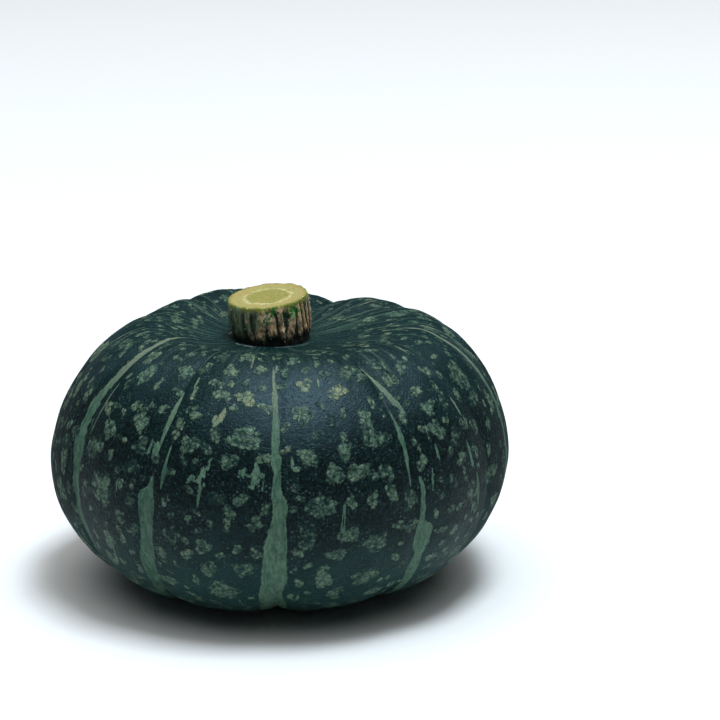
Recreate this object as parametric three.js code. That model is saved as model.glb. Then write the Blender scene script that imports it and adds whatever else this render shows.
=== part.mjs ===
// A kabocha squash as picked: a squat fruit of twelve shallow lobes, standing on the flats of its
// lobe bottoms, and its cut, corky, ridged stem, seated in the dimple at the top.
// Millimetres, +Z up, the front faces -Y. Azimuth 0 is the front and turns towards +X.
import * as THREE from 'three';

// ---- Fruit body: a turned profile before its lobes, swellings and lean ----
const EQUATOR_RADIUS = 90;
const EQUATOR_HEIGHT = 54.3;
const SHOULDER_RADIUS = 52.6;      // crown of the shoulder, round the stem dimple
const SHOULDER_HEIGHT = 103.1;
const BASE_RADIUS = 27.8;          // ring that the body stands on, round the blossom dimple
const LOWER_FULLNESS = 2.2;        // superellipse exponents: 2 is an ellipse, more is squarer
const UPPER_FULLNESS = 1.73;
const BLOSSOM_DIMPLE_DEPTH = 2.5;
const STEM_DIMPLE_DEPTH = 5.4;
const SEAT_RADIUS = 17;            // floor of the stem dimple, which the stem stands on

// ---- Growth that takes the body away from a turned shape ----
const SIDE_DRIFT = 3.2;            // the body leans this far towards +X over 100 mm of height
const SIDE_DROP = 0.8;             // the +X shoulder hangs this much lower than the axis
const STEM_OFFSET_X = -1.5;        // the stem stays behind the lean
const DRIFT_START_RADIUS = 20;     // between these radii the lean takes over from the stem's place
const DRIFT_FULL_RADIUS = 60;
const LEAN_SPAN = 100;             // height that the drift, and rind length that a swing, is given over
const GROUND_TRIM = 0.4;           // how deep the surface it stands on flattens the lobe bottoms

// Furrows between the lobes: azimuth at mid rind in degrees, swing over 100 mm of rind, strength.
const FURROWS = [
  { azimuth: -1.5, swing: -1, strength: 1.0 },
  { azimuth: 33, swing: -9, strength: 1.0 },
  { azimuth: 62, swing: -6, strength: 1.0 },
  { azimuth: 92, swing: 0, strength: 1.0 },
  { azimuth: 122, swing: 4, strength: 0.9 },
  { azimuth: 156, swing: 3, strength: 1.3 },
  { azimuth: 187, swing: 0, strength: 1.0 },
  { azimuth: 222, swing: -3, strength: 1.0 },
  { azimuth: 246, swing: -2, strength: 0.8 },
  { azimuth: 271, swing: 0, strength: 1.0 },
  { azimuth: 299.5, swing: 3, strength: 1.0 },
  { azimuth: 326, swing: 6, strength: 1.0 },
];
// Furrow depth by distance along the rind from the blossom scar.
const FURROW_DEPTHS = [
  [0, 0], [18, 0.4], [33, 1.2], [58, 2.0], [83, 1.8], [108, 1.3], [138, 1.1], [168, 1.5],
  [188, 1.5], [206, 0.5], [215, 0],
];
const LOBE_SHARPNESS = 2.6;        // above 2 the lobes are flatter and the furrows sharper
const LOBE_RISE = 0.28;            // share of the furrow depth that a lobe's crown stands proud
const MID_RIND = 128;              // distance along the rind where the furrow azimuths are given

// Broad swellings and hollows: where each one is, its half width in degrees, its half length along
// the rind and its height off the profile.
const SWELLINGS = [
  { azimuth: 207, along: 178, halfWidth: 22, halfLength: 28, height: 2.1 },
  { azimuth: 157, along: 178, halfWidth: 13, halfLength: 24, height: -2.3 },
  { azimuth: 238, along: 168, halfWidth: 18, halfLength: 22, height: -1.2 },
  { azimuth: 262, along: 146, halfWidth: 18, halfLength: 22, height: -0.5 },
  { azimuth: 272, along: 120, halfWidth: 20, halfLength: 22, height: 0.9 },
  { azimuth: 90, along: 100, halfWidth: 22, halfLength: 24, height: -0.5 },
  { azimuth: 128, along: 174, halfWidth: 20, halfLength: 22, height: 0.6 },
  { azimuth: 100, along: 150, halfWidth: 18, halfLength: 22, height: 0.6 },
  { azimuth: -70, along: 86, halfWidth: 16, halfLength: 22, height: -0.5 },
  { azimuth: -30, along: 64, halfWidth: 14, halfLength: 18, height: 0.5 },
];

// ---- Stem ----
const STEM_HEIGHT = 16;            // on its axis
const STEM_GAP = 0.3;              // clearance between the stem's foot and its seat
const STEM_TILT = 0.1;             // slope of the cut face, rising towards +X
const STEM_LEAN_X = -1.6;          // how far the cut face stands off the foot
// Radius at a share of the height: a rounded foot, a full waist and a slightly drawn-in rim.
const STEM_PROFILE = [
  [0, 12.6], [0.05, 14.3], [0.14, 15.3], [0.28, 15.9], [0.45, 16.2], [0.62, 16.2], [0.8, 15.9],
  [0.93, 15.7], [1, 15.1],
];
const STEM_RIDGES = 24;
const RIDGE_DEPTH = 0.75;
const RIDGE_WANDER = [              // uneven spacing of the ridges: waves round the stem, amount
  [3, 0.045, 0.6],
  [7, 0.02, 2.1],
];
const RIDGE_FADE = 0.12;           // share of the height over which the ridges rise at either end

// ---- Facets ----
const FRUIT_COLUMNS = 96;
const FRUIT_ROWS = 38;
const STEM_COLUMNS_PER_RIDGE = 4;
const FACE_RINGS = 3;
const PROFILE_SAMPLES = 800;

const { degToRad, smoothstep, lerp, euclideanModulo } = THREE.MathUtils;

/** Straight-line reading of a table of [position, value] pairs, held flat past its ends. */
function readTable(table, position) {
  const upper = table.findIndex(([at]) => at >= position);
  if (upper === 0) return table[0][1];
  if (upper < 0) return table[table.length - 1][1];
  const [fromAt, fromValue] = table[upper - 1];
  const [toAt, toValue] = table[upper];
  return lerp(fromValue, toValue, (position - fromAt) / (toAt - fromAt));
}

/** The rind's half section in (radius, height), from the blossom scar to the stem's axis. */
class RindProfile extends THREE.Curve {
  constructor() {
    super();
    this.arcLengthDivisions = PROFILE_SAMPLES;
    this.sections = [this.blossomDimple, this.lowerQuarter, this.upperQuarter, this.stemDimple, this.seat];
  }

  blossomDimple(share, target) {
    return target.set(BASE_RADIUS * share, BLOSSOM_DIMPLE_DEPTH * (1 - smoothstep(share, 0, 1)));
  }

  lowerQuarter(share, target) {
    const turn = share * Math.PI / 2;
    return target.set(
      BASE_RADIUS + (EQUATOR_RADIUS - BASE_RADIUS) * Math.sin(turn) ** (2 / LOWER_FULLNESS),
      EQUATOR_HEIGHT * (1 - Math.cos(turn) ** (2 / LOWER_FULLNESS)),
    );
  }

  upperQuarter(share, target) {
    const turn = share * Math.PI / 2;
    return target.set(
      SHOULDER_RADIUS + (EQUATOR_RADIUS - SHOULDER_RADIUS) * Math.cos(turn) ** (2 / UPPER_FULLNESS),
      EQUATOR_HEIGHT + (SHOULDER_HEIGHT - EQUATOR_HEIGHT) * Math.sin(turn) ** (2 / UPPER_FULLNESS),
    );
  }

  stemDimple(share, target) {
    return target.set(
      lerp(SHOULDER_RADIUS, SEAT_RADIUS, share),
      SHOULDER_HEIGHT - STEM_DIMPLE_DEPTH * smoothstep(share, 0, 1),
    );
  }

  seat(share, target) {
    return target.set(SEAT_RADIUS * (1 - share), SHOULDER_HEIGHT - STEM_DIMPLE_DEPTH);
  }

  getPoint(t, target = new THREE.Vector2()) {
    const place = Math.min(t, 1) * this.sections.length;
    const section = Math.min(Math.floor(place), this.sections.length - 1);
    return this.sections[section].call(this, place - section, target);
  }
}

/** How far the lobes and furrows lift the rind off its profile. */
function lobeHeight(azimuth, along) {
  const swung = FURROWS.map(({ azimuth: middle, swing }) => middle + swing * (along - MID_RIND) / LEAN_SPAN);
  for (let index = 0; index < FURROWS.length; index += 1) {
    const next = (index + 1) % FURROWS.length;
    const width = euclideanModulo(swung[next] - swung[index], 360);
    const share = euclideanModulo(azimuth - swung[index], 360) / width;
    if (share < 1) {
      const strength = lerp(FURROWS[index].strength, FURROWS[next].strength, share);
      const sag = strength * Math.abs(2 * share - 1) ** LOBE_SHARPNESS;
      return readTable(FURROW_DEPTHS, along) * (LOBE_RISE - sag);
    }
  }
  return 0;
}

/** How far the broad swellings and hollows lift the rind off its profile. */
function swellingHeight(azimuth, along) {
  return SWELLINGS.reduce((sum, swelling) => {
    const turn = euclideanModulo(azimuth - swelling.azimuth + 180, 360) - 180;
    const reach = (turn / swelling.halfWidth) ** 2 + ((along - swelling.along) / swelling.halfLength) ** 2;
    return sum + swelling.height * Math.exp(-reach);
  }, 0);
}

/**
 * A closed body from rows of points that run round an axis, between a pole at each end.
 * pointAt(column, row) gives the points of rows 1 to rows - 1; the poles are rows 0 and rows.
 */
function roundBody(columns, rows, pointAt) {
  const positions = [];
  const add = (point) => positions.push(point.x, point.y, point.z);
  add(pointAt(0, 0));
  for (let row = 1; row < rows; row += 1) {
    for (let column = 0; column < columns; column += 1) add(pointAt(column, row));
  }
  add(pointAt(0, rows));

  const last = positions.length / 3 - 1;
  const vertex = (column, row) => 1 + (row - 1) * columns + column % columns;
  const triangles = [];
  for (let column = 0; column < columns; column += 1) {
    triangles.push(0, vertex(column + 1, 1), vertex(column, 1));
    for (let row = 1; row < rows - 1; row += 1) {
      const [low, lowNext] = [vertex(column, row), vertex(column + 1, row)];
      const [high, highNext] = [vertex(column, row + 1), vertex(column + 1, row + 1)];
      triangles.push(low, lowNext, highNext, low, highNext, high);
    }
    triangles.push(last, vertex(column, rows - 1), vertex(column + 1, rows - 1));
  }

  const geometry = new THREE.BufferGeometry();
  geometry.setAttribute('position', new THREE.Float32BufferAttribute(positions, 3));
  geometry.setIndex(triangles);
  geometry.computeVertexNormals();
  return geometry;
}

function fruitGeometry() {
  const profile = new RindProfile();
  const rindLength = profile.getLength();
  return roundBody(FRUIT_COLUMNS, FRUIT_ROWS, (column, row) => {
    const share = row / FRUIT_ROWS;
    const azimuth = 360 * column / FRUIT_COLUMNS;
    const along = share * rindLength;
    const onProfile = profile.getPointAt(share);
    const tangent = profile.getTangentAt(share);
    const lift = lobeHeight(azimuth, along) + swellingHeight(azimuth, along);
    const radius = Math.max(0, onProfile.x + lift * tangent.y);
    const height = onProfile.y - lift * tangent.x;

    const lean = smoothstep(radius, DRIFT_START_RADIUS, DRIFT_FULL_RADIUS);
    const poleX = height > EQUATOR_HEIGHT ? STEM_OFFSET_X : 0;
    const x = radius * Math.sin(degToRad(azimuth)) + lerp(poleX, SIDE_DRIFT * height / LEAN_SPAN, lean);
    const y = -radius * Math.cos(degToRad(azimuth));
    const drop = SIDE_DROP * (x / EQUATOR_RADIUS) * (height / LEAN_SPAN);
    return new THREE.Vector3(x, y, Math.max(0, height - drop - GROUND_TRIM));
  });
}

function stemGeometry() {
  const sideRows = STEM_PROFILE.length;
  const columns = STEM_RIDGES * STEM_COLUMNS_PER_RIDGE;
  const rows = sideRows + 2 * FACE_RINGS - 1;
  const lastSide = FACE_RINGS + sideRows - 1;
  return roundBody(columns, rows, (column, row) => {
    const step = THREE.MathUtils.clamp(row - FACE_RINGS, 0, sideRows - 1);
    const [share, fullRadius] = STEM_PROFILE[step];
    const inward = row < FACE_RINGS ? row / FACE_RINGS : (rows - row) / (rows - lastSide);
    const evenTurn = 2 * Math.PI * column / columns;
    const turn = RIDGE_WANDER.reduce(
      (sum, [waves, amount, phase]) => sum + amount * Math.sin(waves * evenTurn + phase), evenTurn);
    const fade = Math.min(1, share / RIDGE_FADE, (1 - share) / RIDGE_FADE);
    const ridge = RIDGE_DEPTH / 2 * fade * (Math.cos(STEM_RIDGES * evenTurn) - 1);
    const radius = (fullRadius + ridge) * Math.min(1, inward);
    const x = radius * Math.sin(turn);
    const height = share * (STEM_HEIGHT + STEM_TILT * x);
    return new THREE.Vector3(x + STEM_LEAN_X * share, -radius * Math.cos(turn), height);
  });
}

const fruit = new THREE.Mesh(
  fruitGeometry(),
  new THREE.MeshStandardMaterial({ color: 0x2f423f, roughness: 0.48, metalness: 0 }),
);
fruit.name = 'fruit';

const stem = new THREE.Mesh(
  stemGeometry(),
  new THREE.MeshStandardMaterial({ color: 0x77704a, roughness: 0.85, metalness: 0 }),
);
stem.name = 'stem';
stem.position.set(STEM_OFFSET_X, 0, SHOULDER_HEIGHT - STEM_DIMPLE_DEPTH - GROUND_TRIM + STEM_GAP);

// The origin is the middle of the fruit's outline, on the surface that it stands on.
const squash = new THREE.Group();
squash.add(fruit, stem);
fruit.geometry.computeBoundingBox();
const middle = fruit.geometry.boundingBox.getCenter(new THREE.Vector3());
squash.position.set(-middle.x, -middle.y, 0);

export default squash;
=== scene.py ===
"""Kabocha squash: the lobed, mottled rind and the cut, corky stem, finished over their solids.

Sizes are in millimetres until a mesh is written, and azimuths in degrees: 0 is the front (-Y) and
they turn towards +X. "Along" is the distance over the rind from the blossom scar underneath,
through the equator at about 121 and the shoulder at 188, to the foot of the stem at 224.
"""
import logging
import math
from collections.abc import Callable
from dataclasses import dataclass
from enum import Enum

import bpy
import numpy as np
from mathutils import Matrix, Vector, noise

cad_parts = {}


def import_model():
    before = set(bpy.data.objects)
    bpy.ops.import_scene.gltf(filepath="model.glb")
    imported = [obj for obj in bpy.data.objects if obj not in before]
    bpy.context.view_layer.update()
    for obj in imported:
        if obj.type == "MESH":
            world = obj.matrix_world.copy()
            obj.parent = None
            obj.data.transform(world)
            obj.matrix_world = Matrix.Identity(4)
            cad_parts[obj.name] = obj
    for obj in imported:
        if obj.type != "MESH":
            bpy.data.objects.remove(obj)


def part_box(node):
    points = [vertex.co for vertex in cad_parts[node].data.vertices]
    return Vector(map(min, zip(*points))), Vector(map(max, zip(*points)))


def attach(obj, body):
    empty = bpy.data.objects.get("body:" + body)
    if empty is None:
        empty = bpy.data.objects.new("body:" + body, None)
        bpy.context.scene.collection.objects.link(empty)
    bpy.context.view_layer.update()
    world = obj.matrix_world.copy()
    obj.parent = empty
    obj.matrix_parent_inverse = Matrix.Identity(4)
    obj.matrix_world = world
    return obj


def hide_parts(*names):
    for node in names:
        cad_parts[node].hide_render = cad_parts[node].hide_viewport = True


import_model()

LOG = logging.getLogger("kabocha")
MM = 0.001
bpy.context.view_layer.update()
SCREEN_WHITE, SCREEN_GAMMA = 255, 2.2

Array = np.ndarray
Colour = tuple[float, float, float]
Piece = bpy.types.Object
Socket = bpy.types.NodeSocket
Span = tuple[float, float, float, float]
Table = tuple[tuple[float, float], ...]


# ---- small tools


def paint(red: int, green: int, blue: int) -> Colour:
    """A colour from its 0 to 255 screen values, as the shader's linear numbers."""
    return tuple((c / SCREEN_WHITE) ** SCREEN_GAMMA for c in (red, green, blue))


def smooth_step(value: Array | float, low: float, high: float) -> Array:
    """Zero at low, one at high, and a smooth ramp between them, falling if low is the greater."""
    share = np.clip((value - low) / (high - low), 0, 1)
    return share * share * (3 - 2 * share)


def bell(distance: Array, reach: float) -> Array:
    """One at no distance, falling off smoothly over the reach."""
    return np.exp(-((distance / reach) ** 2))


def look_up(value: Array, table: Table) -> Array:
    """The amount that a table of places and amounts gives, in between its rows too."""
    return np.interp(value, *zip(*table))


def turn_between(azimuth: Array, start: Array | float) -> Array:
    """The signed turn from start to azimuth, from -180 to 180 degrees."""
    return (azimuth - start + 180) % 360 - 180


def within(value: Array, start: float, full: float, fade: float, end: float) -> Array:
    """One from full to fade, with smooth ramps up from the start and down to the end."""
    return smooth_step(value, start, full) * smooth_step(value, end, fade)


@dataclass(frozen=True)
class Hump:
    """A smooth rise about a place, or a hollow: its height, its place and its reach."""

    height: float
    middle: float
    reach: float

    def at(self, value: Array) -> Array:
        """Its height at each value."""
        return self.height * bell(value - self.middle, self.reach)


@dataclass(frozen=True)
class Ripple:
    """Uneven relief: its height each way, its features' size and its place in the noise."""

    height: float
    size: float | tuple[float, float, float]
    shift: float = 0.0

    def over(self, points: Array) -> Array:
        """Its height at each point."""
        scaled = (points / np.array(self.size) + self.shift).tolist()
        return self.height * np.array([noise.noise(place) for place in scaled])


def deselect() -> None:
    """Leaves nothing selected or active."""
    bpy.ops.object.select_all(action="DESELECT")
    bpy.context.view_layer.objects.active = None


def refine(piece: Piece, levels: int) -> None:
    """Halves the active piece's edges a number of times, without moving its surface.

    Args:
        piece: The mesh object.
        levels: How many times.
    """
    finer = piece.modifiers.new("finer", "SUBSURF")
    finer.subdivision_type = "SIMPLE"
    finer.levels = finer.render_levels = levels
    bpy.ops.object.modifier_apply(modifier=finer.name)


def read_places(piece: Piece) -> Array:
    """Reads where the piece's vertices are.

    Args:
        piece: The mesh object.

    Returns:
        Their places in millimetres, one row each.
    """
    flat = np.empty(len(piece.data.vertices) * 3)
    piece.data.vertices.foreach_get("co", flat)
    return flat.reshape(-1, 3) / MM


def write_places(piece: Piece, places: Array, box: tuple) -> None:
    """Moves the piece's vertices, with their footprint's middle over that of a box.

    Args:
        piece: The mesh object.
        places: Where each vertex goes, in millimetres.
        box: The box's lowest and highest corner, in metres.
    """
    places[:, :2] += ((sum(np.array(box)) / MM - places.min(0) - places.max(0)) / 2)[:2]
    piece.data.vertices.foreach_set("co", (places * MM).ravel())
    piece.data.update()


def record(piece: Piece, name: str, *columns: Array) -> None:
    """Stores a vector for every vertex, given by its three numbers, for the finishes."""
    made = piece.data.attributes.new(name, "FLOAT_VECTOR", "POINT")
    made.data.foreach_set("vector", np.stack(columns, axis=1).astype(float).ravel())


# ---- shader values


class CellPart(Enum):
    """What the distance inside a cell is measured from."""

    MIDDLE = "F1"
    EDGE = "DISTANCE_TO_EDGE"


def step(operation: str) -> Callable[..., "Value"]:
    """A method that takes a number, and others if need be, through one step of arithmetic."""
    return lambda number, *others: number.board.math("Math", operation, number, *others)


class Value:
    """What a material works out at each point: a number, a vector or a colour."""

    NOISE_ROUGHNESS = 0.55
    NOISE_MIDDLE = 0.5

    def __init__(self, board: "Board", socket: Socket) -> None:
        """Notes the socket that gives it, and the board that the socket is on."""
        self.board, self.socket = board, socket

    __add__, __sub__, __mul__ = step("ADD"), step("SUBTRACT"), step("MULTIPLY")
    __truediv__, __abs__, sine = step("DIVIDE"), step("ABSOLUTE"), step("SINE")
    most, least = step("MAXIMUM"), step("MINIMUM")

    def swing(self, reach: float) -> "Value":
        """Turns noise of 0 to 1 into a push of up to reach each way, mostly well under it."""
        return (self - self.NOISE_MIDDLE) * (2 * reach)

    def split(self) -> tuple["Value", "Value", "Value"]:
        """A vector's three numbers."""
        return tuple(self.board.node("SeparateXYZ", {"Vector": self}).values())

    def stretch(self, *factors: float) -> "Value":
        """A vector with each axis multiplied."""
        return self.board.math("VectorMath", "MULTIPLY", self, factors)

    def away_from(self, place: tuple[float, float, float]) -> "Value":
        """A vector's distance from a fixed place."""
        return self.board.math("VectorMath", "DISTANCE", self, place, output=1)

    def warp(self, size: float, reach: float) -> "Value":
        """A vector pushed about by noise.

        Args:
            size: The size of the noise's features.
            reach: How far it moves, at most about half of this each way.

        Returns:
            The moved vector.
        """
        push = self._noise(size, 2)["Color"]
        push = self.board.math("VectorMath", "SUBTRACT", push, (self.NOISE_MIDDLE,) * 3)
        push = self.board.node("VectorMath", {0: push, "Scale": reach}, operation="SCALE")
        return self.board.math("VectorMath", "ADD", self, push["Vector"])

    def _noise(self, size: float, detail: float) -> dict[str, "Value"]:
        """What a noise texture gives, with features of the given size."""
        inputs = {"Vector": self, "Scale": 1 / size, "Detail": detail}
        return self.board.node("TexNoise", {**inputs, "Roughness": self.NOISE_ROUGHNESS})

    def noise(self, size: float, detail: float = 2, lengthwise: float = 1) -> "Value":
        """Noise of 0 to 1, drawn out along the third axis where lengthwise is under 1."""
        place = self if lengthwise == 1 else self.stretch(1, 1, lengthwise)
        return place._noise(size, detail)["Fac"]

    def _cells(self, size: float, part: CellPart) -> dict[str, "Value"]:
        """What irregular cells of the given size give."""
        inputs = {"Vector": self, "Scale": 1 / size}
        return self.board.node("TexVoronoi", inputs, feature=part.value)

    def inside_cell(self, size: float, part: CellPart) -> "Value":
        """The distance from a part of this vector's cell, as a share of the cell's size."""
        return self._cells(size, part)["Distance"]

    def cells(self, size: float) -> tuple["Value", "Value"]:
        """The distance from the cell's middle, as a share of its size, and a draw for each cell."""
        made = self._cells(size, CellPart.MIDDLE)
        return made["Distance"], made["Color"].split()[0]

    def band(self, start: float, end: float, low: float = 0.0, high: float = 1.0) -> "Value":
        """A smooth ramp of a number.

        Args:
            start: Where the ramp begins.
            end: Where it ends; less than start for a falling ramp.
            low: The result before the ramp.
            high: The result past it.

        Returns:
            The ramped number.
        """
        if start > end:
            start, end, low, high = end, start, high, low
        inputs = {"From Min": start, "From Max": end, "To Min": low, "To Max": high}
        ramp = {"Value": self, **inputs}
        return self.board.node("MapRange", ramp, interpolation_type="SMOOTHSTEP")["Result"]

    def blend(self, first: "Feed", second: "Feed") -> "Value":
        """The first colour where this number is 0, the second where it is 1."""
        inputs = {"Factor_Float": self, "A_Color": first, "B_Color": second}
        return self.board.node("Mix", inputs, data_type="RGBA")["Result_Color"]

    def ramp(self, *stops: tuple[float, Colour]) -> "Value":
        """Lays colours along this number.

        Args:
            *stops: Each colour, after the number that it stands at.

        Returns:
            The colour where this number falls.
        """
        made = self.board.node("ValToRGB", {"Fac": self})["Color"]
        elements = made.socket.node.color_ramp.elements
        while len(elements) < len(stops):
            elements.new(1.0)
        for element, (place, colour) in zip(elements, stops):
            element.position, element.color = place, (*colour, 1.0)
        return made

    def relief(self) -> "Value":
        """Bumps from this height in millimetres."""
        return self.board.node("Bump", {"Height": self, "Distance": MM, "Strength": 1.0})["Normal"]


Feed = Value | float | tuple[float, ...]
Inputs = dict[str | int, Feed]


class Board:
    """A material's node tree, built up one node at a time."""

    def __init__(self, name: str) -> None:
        """Starts a material, which holds only its surface shader.

        Args:
            name: The material's name.
        """
        self.material = bpy.data.materials.new(name)
        self.material.use_nodes = True
        self.tree = self.material.node_tree

    def node(self, kind: str, inputs: Inputs, **settings: object) -> dict[str, Value]:
        """Adds a shader node.

        Args:
            kind: The node's type.
            inputs: What feeds each input, by its place or identifier.
            **settings: The node's own properties.

        Returns:
            What the node gives, by each output's identifier.
        """
        made = self.tree.nodes.new("ShaderNode" + kind)
        for key, value in settings.items():
            setattr(made, key, value)
        self.feed(made, inputs)
        return {socket.identifier: Value(self, socket) for socket in made.outputs}

    def feed(self, node: bpy.types.Node, inputs: Inputs) -> None:
        """Links a node's inputs to values, or sets them.

        Args:
            node: The node.
            inputs: What feeds each input, by its place or identifier.
        """
        for place, socket in enumerate(node.inputs):
            value = inputs.get(place, inputs.get(socket.identifier))
            if isinstance(value, Value):
                self.tree.links.new(value.socket, socket)
            elif value is not None:
                socket.default_value = (*value, 1.0) if socket.type == "RGBA" else value

    def math(self, kind: str, operation: str, *values: Feed, output: int = 0) -> Value:
        """One step of arithmetic: Math on numbers, VectorMath on vectors."""
        made = self.node(kind, dict(enumerate(values)), operation=operation)
        return list(made.values())[output]

    def attribute(self, name: str) -> Value:
        """A vector attribute of the mesh."""
        return self.node("Attribute", {}, attribute_name=name)["Vector"]

    def millimetres(self) -> Value:
        """Where each point lies on the piece, in millimetres."""
        return self.node("TexCoord", {})["Object"].stretch(*[1 / MM] * 3)

    def finish(self, inputs: Inputs) -> bpy.types.Material:
        """Feeds the surface shader and returns the material."""
        self.feed(self.tree.nodes["Principled BSDF"], inputs)
        return self.material


# ---- the fruit's form


@dataclass(frozen=True)
class RindProfile:
    """The fruit's half section, as a turned body."""

    equator_radius: float = 90.0
    equator_height: float = 54.3
    shoulder_radius: float = 52.6
    shoulder_height: float = 103.1
    base_radius: float = 27.8
    lower_fullness: float = 2.2
    upper_fullness: float = 1.73
    blossom_depth: float = 2.5
    dimple_depth: float = 5.4
    seat_radius: float = 17.0
    samples: int = 400

    def section(self) -> tuple[Array, Array]:
        """Draws the half section, from the blossom scar to the stem's axis.

        Returns:
            Its radii and its heights.
        """
        share = np.linspace(0, 1, self.samples)
        turn = share * np.pi / 2
        low, high = 2 / self.lower_fullness, 2 / self.upper_fullness
        base, waist, crown = self.base_radius, self.equator_radius, self.shoulder_radius
        rise = self.shoulder_height - self.equator_height
        radius = [
            base * share,
            base + (waist - base) * np.sin(turn) ** low,
            crown + (waist - crown) * np.cos(turn).clip(0) ** high,
            crown + (self.seat_radius - crown) * share,
            self.seat_radius * (1 - share),
        ]
        height = [
            self.blossom_depth * (1 - smooth_step(share, 0, 1)),
            self.equator_height * (1 - np.cos(turn).clip(0) ** low),
            self.equator_height + rise * np.sin(turn) ** high,
            self.shoulder_height - self.dimple_depth * smooth_step(share, 0, 1),
            np.full(self.samples, self.shoulder_height - self.dimple_depth),
        ]
        return np.concatenate(radius), np.concatenate(height)

    def spaced(self, rows: int) -> tuple[Array, Array, Array, Array, Array]:
        """Points evenly spaced over the rind.

        Args:
            rows: How many steps to take.

        Returns:
            Distance along, radius, height, and the outward normal's two parts.
        """
        radius, height = self.section()
        run = np.concatenate([[0], np.cumsum(np.hypot(np.diff(radius), np.diff(height)))])
        along = np.linspace(0, run[-1], rows + 1)
        radius, height = np.interp(along, run, radius), np.interp(along, run, height)
        out, up = np.gradient(height, along), -np.gradient(radius, along)
        length = np.hypot(out, up)
        return along, radius, height, out / length, up / length


@dataclass(frozen=True)
class Furrow:
    """A furrow between lobes: its azimuth at mid rind, swing over 100 mm and strength."""

    azimuth: float
    swing: float
    strength: float = 1.0


@dataclass(frozen=True)
class Swelling:
    """A broad swelling or hollow on the rind, with its reach each way and its height."""

    azimuth: float
    along: float
    turn_reach: float
    along_reach: float
    height: float


@dataclass(frozen=True)
class Growth:
    """How the fruit departs from a turned body: lobes, swellings, lean and the ground's flat."""

    furrows: tuple[Furrow, ...] = (
        Furrow(-1.5, -1), Furrow(33, -9), Furrow(62, -6), Furrow(92, 0), Furrow(122, 4, 0.9),
        Furrow(156, 3, 1.3), Furrow(187, 0), Furrow(222, -3), Furrow(246, -2, 0.8),
        Furrow(271, 0), Furrow(299.5, 3), Furrow(326, 6),
    )
    depths: Table = (
        (0, 0), (18, 0.4), (33, 1.2), (58, 2.0), (83, 1.8), (108, 1.3), (138, 1.1), (168, 1.5),
        (188, 1.5), (206, 0.5), (215, 0),
    )
    swellings: tuple[Swelling, ...] = (
        Swelling(207, 178, 22, 28, 2.1), Swelling(157, 178, 13, 24, -2.3),
        Swelling(238, 168, 18, 22, -1.2), Swelling(262, 146, 18, 22, -0.5),
        Swelling(272, 120, 20, 22, 0.9), Swelling(90, 100, 22, 24, -0.5),
        Swelling(128, 174, 20, 22, 0.6), Swelling(100, 150, 18, 22, 0.6),
        Swelling(-70, 86, 16, 22, -0.5), Swelling(-30, 64, 14, 18, 0.5),
    )
    sharpness: float = 2.6
    rise: float = 0.28
    mid_rind: float = 128.0
    drift: float = 3.2
    drop: float = 0.8
    stem_x: float = -1.5
    lean_span: float = 100.0
    drift_radii: tuple[float, float] = (20.0, 60.0)
    ground_trim: float = 0.4

    def swung(self, furrow: Furrow, along: Array) -> Array:
        """A furrow's azimuth at each distance along the rind."""
        return furrow.azimuth + furrow.swing * (along - self.mid_rind) / self.lean_span

    def lobes(self, azimuth: Array, along: Array) -> tuple[Array, Array]:
        """The lobes' lift off the profile.

        Args:
            azimuth, along: Where the points lie.

        Returns:
            The lift, and how near the point is to a furrow, from 0 at a crown to 1.
        """
        depth = look_up(along, self.depths)
        lift, nearness = np.zeros_like(azimuth), np.zeros_like(azimuth)
        for this, following in zip(self.furrows, self.furrows[1:] + self.furrows[:1]):
            start, end = self.swung(this, along), self.swung(following, along)
            share = ((azimuth - start) % 360) / ((end - start) % 360)
            strength = this.strength + (following.strength - this.strength) * share
            near = np.abs(2 * share - 1)
            inside = share < 1
            lift = np.where(inside, depth * (self.rise - strength * near**self.sharpness), lift)
            nearness = np.where(inside, near, nearness)
        return lift, nearness

    def swell(self, azimuth: Array, along: Array) -> Array:
        """Adds up the broad swellings and hollows.

        Args:
            azimuth, along: Where the points lie.

        Returns:
            Their lift at each point.
        """
        lift = np.zeros_like(azimuth)
        for s in self.swellings:
            turn = turn_between(azimuth, s.azimuth)
            lift += s.height * bell(turn, s.turn_reach) * bell(along - s.along, s.along_reach)
        return lift

    def place(self, azimuth: Array, radius: Array, height: Array, profile: RindProfile) -> Array:
        """Turns radius and height into places, with the body's lean and the flat it stands on.

        Args:
            azimuth: Each point's azimuth.
            radius: Its distance from the axis.
            height: Its height.
            profile: The section, for its equator.

        Returns:
            One row of x, y and z a point.
        """
        turn = np.radians(azimuth)
        lean = smooth_step(radius, *self.drift_radii)
        pole = np.where(height > profile.equator_height, self.stem_x, 0)
        x = radius * np.sin(turn) + pole + (self.drift * height / self.lean_span - pole) * lean
        y = -radius * np.cos(turn)
        z = height - self.drop * (x / profile.equator_radius) * (height / self.lean_span)
        return np.stack([x, y, np.maximum(0, z - self.ground_trim)], axis=1)


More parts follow.
